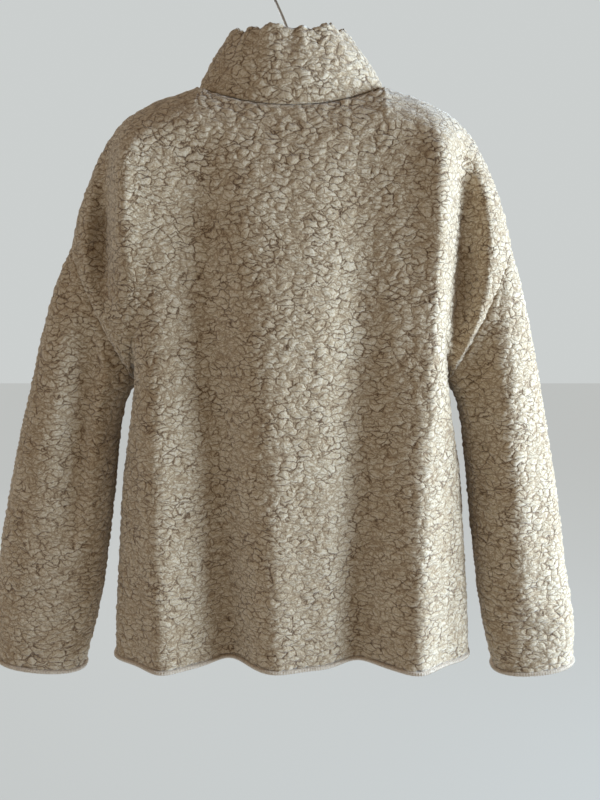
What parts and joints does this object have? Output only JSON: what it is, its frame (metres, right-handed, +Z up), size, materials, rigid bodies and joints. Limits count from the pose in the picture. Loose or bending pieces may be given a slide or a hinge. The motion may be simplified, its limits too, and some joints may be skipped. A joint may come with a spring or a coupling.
{
  "type": "teddy jacket on a hanger",
  "caption": "Teddy fleece jacket with a stand collar, dropped sleeves and a zipped front, hanging empty on a plain wire-hook hanger",
  "frame": {"origin": "the inner top of the hanger's hook, where it lies on its rail", "axes": "+Z up, -Y is the jacket's front, +X is the wearer's left"},
  "size_m": [0.7587, 0.1717, 0.8613],
  "materials": {
    "pile": "cream teddy fleece with a curled pile",
    "binding": "overlocked cream edge",
    "zip_tape": "woven cream tape",
    "zip_metal": "satin nickel",
    "hanger": "smooth white",
    "hook_wire": "polished wire"
  },
  "bodies": {
    "jacket": {"back": "pile", "front_left": "pile", "front_right": "pile", "sleeve_left": "pile", "sleeve_right": "pile", "collar": "pile", "hem_back": "binding", "hem_front_left": "binding", "hem_front_right": "binding", "cuff_binding_left": "binding", "cuff_binding_right": "binding", "zip_tape_left": "zip_tape", "zip_tape_right": "zip_tape", "zip_chain": "zip_metal", "zip_slider": "zip_metal", "hanger_arms": "hanger", "hanger_hook": "hook_wire"},
    "pull": {"zip_pull": "zip_metal"}
  },
  "joints": [
    {"name": "pull_hinge", "type": "hinge", "parent": "jacket", "child": "pull", "pos_m": [0, -0.0643, -0.14244], "axis": [-1, 0, 0], "range_deg": [0, 150]}
  ]
}
